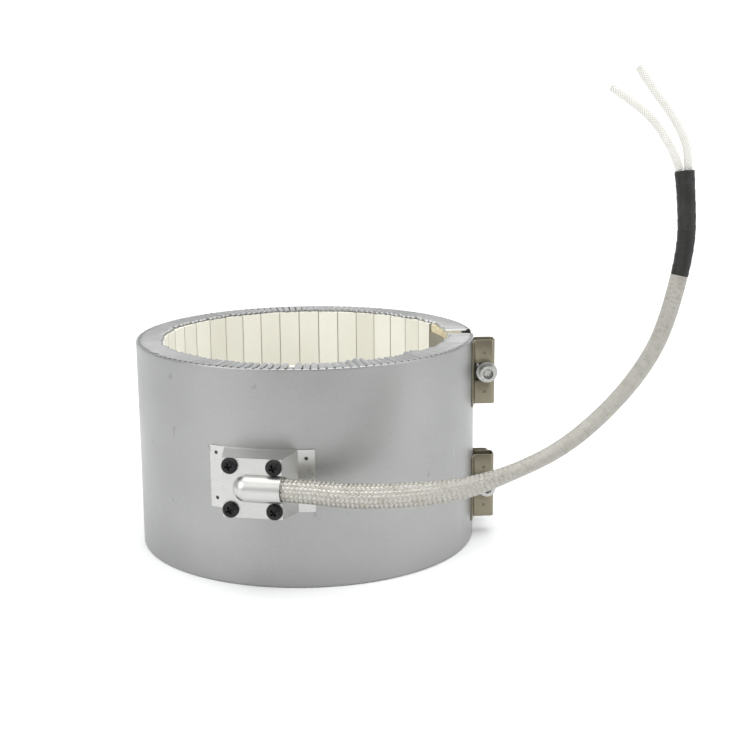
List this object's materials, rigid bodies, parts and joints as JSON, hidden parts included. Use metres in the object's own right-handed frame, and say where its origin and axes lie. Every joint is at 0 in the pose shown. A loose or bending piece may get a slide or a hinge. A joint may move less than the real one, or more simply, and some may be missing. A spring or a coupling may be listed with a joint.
{
  "type": "band heater",
  "caption": "Split ceramic-lined band heater with a toothed stainless shell, two barrel clamps, a sheet metal terminal box and a braided lead.",
  "frame": {"origin": "on the bore axis, at the plane of the lower edge that the heater stands on", "axes": "+Z along the bore, upwards; +X through the middle of the split; the terminal box faces about -Y"},
  "size_m": [0.3083, 0.2555, 0.2882],
  "materials": {
    "shell_steel": "satin rolled stainless sheet",
    "fibre_blanket": "needled mineral fibre",
    "ceramic": "matt ivory ceramic, opaque",
    "heating_wire": "drawn resistance wire",
    "cover_steel": "dull steel sheet",
    "clamp_steel": "passivated steel with a warm tint",
    "screw_steel": "bright steel",
    "box_steel": "bright pressed sheet",
    "black_screw": "black oxide",
    "stud_brass": "brass",
    "braid": "tinned wire braid",
    "sleeve": "black shrink sleeve",
    "lead_glass_fibre": "braided glass fibre"
  },
  "bodies": {
    "band": {"outer_shell": "shell_steel", "insulation_blanket": "fibre_blanket", "ceramic_tile_01": "ceramic", "ceramic_tile_02": "ceramic", "ceramic_tile_03": "ceramic", "ceramic_tile_04": "ceramic", "ceramic_tile_05": "ceramic", "ceramic_tile_06": "ceramic", "ceramic_tile_07": "ceramic", "ceramic_tile_08": "ceramic", "ceramic_tile_09": "ceramic", "ceramic_tile_10": "ceramic", "ceramic_tile_11": "ceramic", "ceramic_tile_12": "ceramic", "ceramic_tile_13": "ceramic", "ceramic_tile_14": "ceramic", "ceramic_tile_15": "ceramic", "ceramic_tile_16": "ceramic", "ceramic_tile_17": "ceramic", "ceramic_tile_18": "ceramic", "ceramic_tile_19": "ceramic", "ceramic_tile_20": "ceramic", "ceramic_tile_21": "ceramic", "ceramic_tile_22": "ceramic", "ceramic_tile_23": "ceramic", "ceramic_tile_24": "ceramic", "ceramic_tile_25": "ceramic", "ceramic_tile_26": "ceramic", "ceramic_tile_27": "ceramic", "ceramic_tile_28": "ceramic", "ceramic_tile_29": "ceramic", "ceramic_tile_30": "ceramic", "ceramic_tile_31": "ceramic", "ceramic_tile_32": "ceramic", "ceramic_tile_33": "ceramic", "ceramic_tile_34": "ceramic", "ceramic_tile_35": "ceramic", "ceramic_tile_36": "ceramic", "heating_element": "heating_wire", "near_end_cover": "cover_steel", "far_end_cover": "cover_steel", "upper_near_strap": "clamp_steel", "upper_far_strap": "clamp_steel", "upper_near_barrel": "clamp_steel", "upper_far_barrel": "clamp_steel", "lower_near_strap": "clamp_steel", "lower_far_strap": "clamp_steel", "lower_near_barrel": "clamp_steel", "lower_far_barrel": "clamp_steel", "terminal_bracket": "box_steel", "terminal_cover": "box_steel", "terminal_cover_screws": "black_screw", "terminal_block": "ceramic", "terminal_studs": "stud_brass", "braided_lead": "braid", "black_sleeve": "sleeve", "white_lead_a": "lead_glass_fibre", "white_lead_b": "lead_glass_fibre"},
    "upper_screw": {"upper_clamp_screw": "screw_steel"},
    "lower_screw": {"lower_clamp_screw": "screw_steel"}
  },
  "joints": [
    {"name": "upper_screw_turn", "type": "hinge", "parent": "band", "child": "upper_screw", "pos_m": [0.1108, 0, 0.1045], "axis": [0, 1, 0], "continuous": true},
    {"name": "lower_screw_turn", "type": "hinge", "parent": "band", "child": "lower_screw", "pos_m": [0.1108, 0, 0.0318], "axis": [0, 1, 0], "continuous": true}
  ]
}
